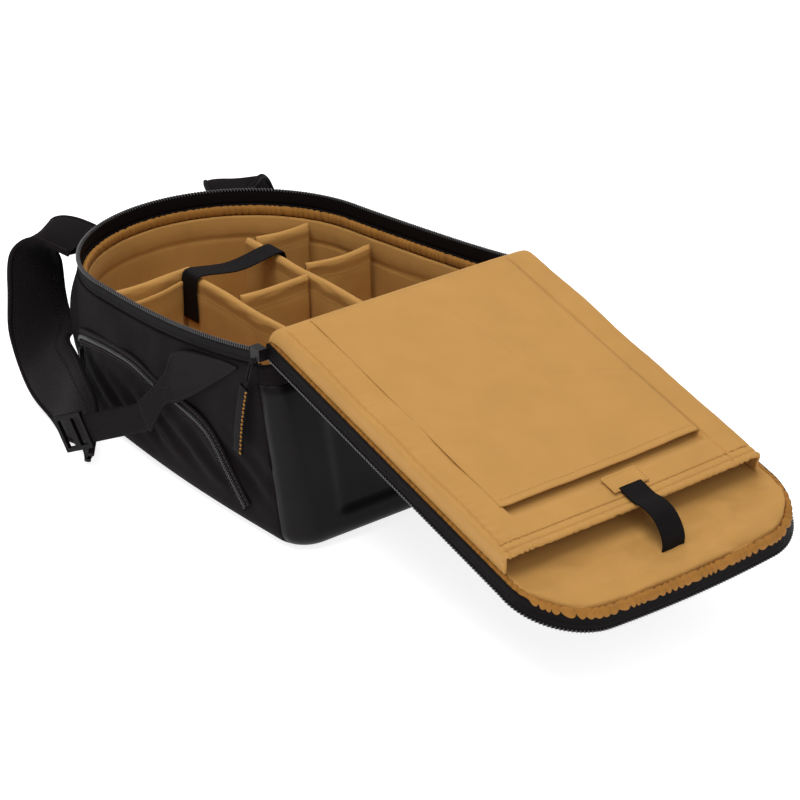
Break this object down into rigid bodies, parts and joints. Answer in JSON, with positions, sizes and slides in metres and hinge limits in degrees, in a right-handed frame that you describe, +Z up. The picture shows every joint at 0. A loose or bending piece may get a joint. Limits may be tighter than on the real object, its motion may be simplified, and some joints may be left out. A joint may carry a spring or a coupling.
{
  "type": "camera backpack",
  "caption": "Camera backpack lying open on its front, with a padded, divided bay and a hinged back panel that holds a laptop sleeve and a tablet pocket.",
  "frame": {"origin": "middle of the bag's front face, on the surface that it lies on", "axes": "+X from the top end of the bag to its bottom end and on along the open panel, +Z up, -Y the side with the side door"},
  "size_m": [0.8485, 0.4416, 0.2082],
  "materials": {
    "black_cloth": "matt woven black cloth",
    "tan_cloth": "matt woven tan cloth",
    "tan_binding": "gathered tan binding",
    "black_webbing": "ribbed black webbing",
    "black_plastic": "satin black plastic",
    "moulding": "smooth semi-gloss black moulding",
    "zip_coil": "dark grey zip coil"
  },
  "bodies": {
    "root": {"body_shell": "black_cloth", "moulded_base": "moulding", "body_lining": "tan_cloth", "body_zip_tape": "black_cloth", "body_zip_coil": "zip_coil", "body_rim_binding": "tan_binding", "divider_near_cross": "tan_cloth", "divider_near_long": "tan_cloth", "divider_mid_cross": "tan_cloth", "divider_far_long": "tan_cloth", "divider_top_cross": "tan_cloth", "divider_far_cross": "tan_cloth", "gear_strap": "black_webbing", "side_door_tape": "black_cloth", "side_door_coil": "zip_coil", "side_zip_pull": "black_plastic", "wing_tab_near": "black_cloth", "wing_tab_far": "black_cloth", "webbing_near": "black_webbing", "webbing_far": "black_webbing", "ladder_lock_near": "black_plastic", "ladder_lock_far": "black_plastic", "shoulder_strap_near": "black_cloth", "shoulder_strap_far": "black_cloth", "hinge_strip": "black_cloth", "main_zip_slider": "black_plastic", "main_pull_cord": "black_webbing", "main_pull_tab": "black_webbing", "back_panel": "black_cloth", "panel_lining": "tan_cloth", "panel_zip_tape": "black_cloth", "panel_zip_coil": "zip_coil", "panel_binding": "tan_binding", "laptop_sleeve": "tan_cloth", "tablet_pocket": "tan_cloth", "sleeve_strap": "black_webbing"}
  },
  "joints": []
}
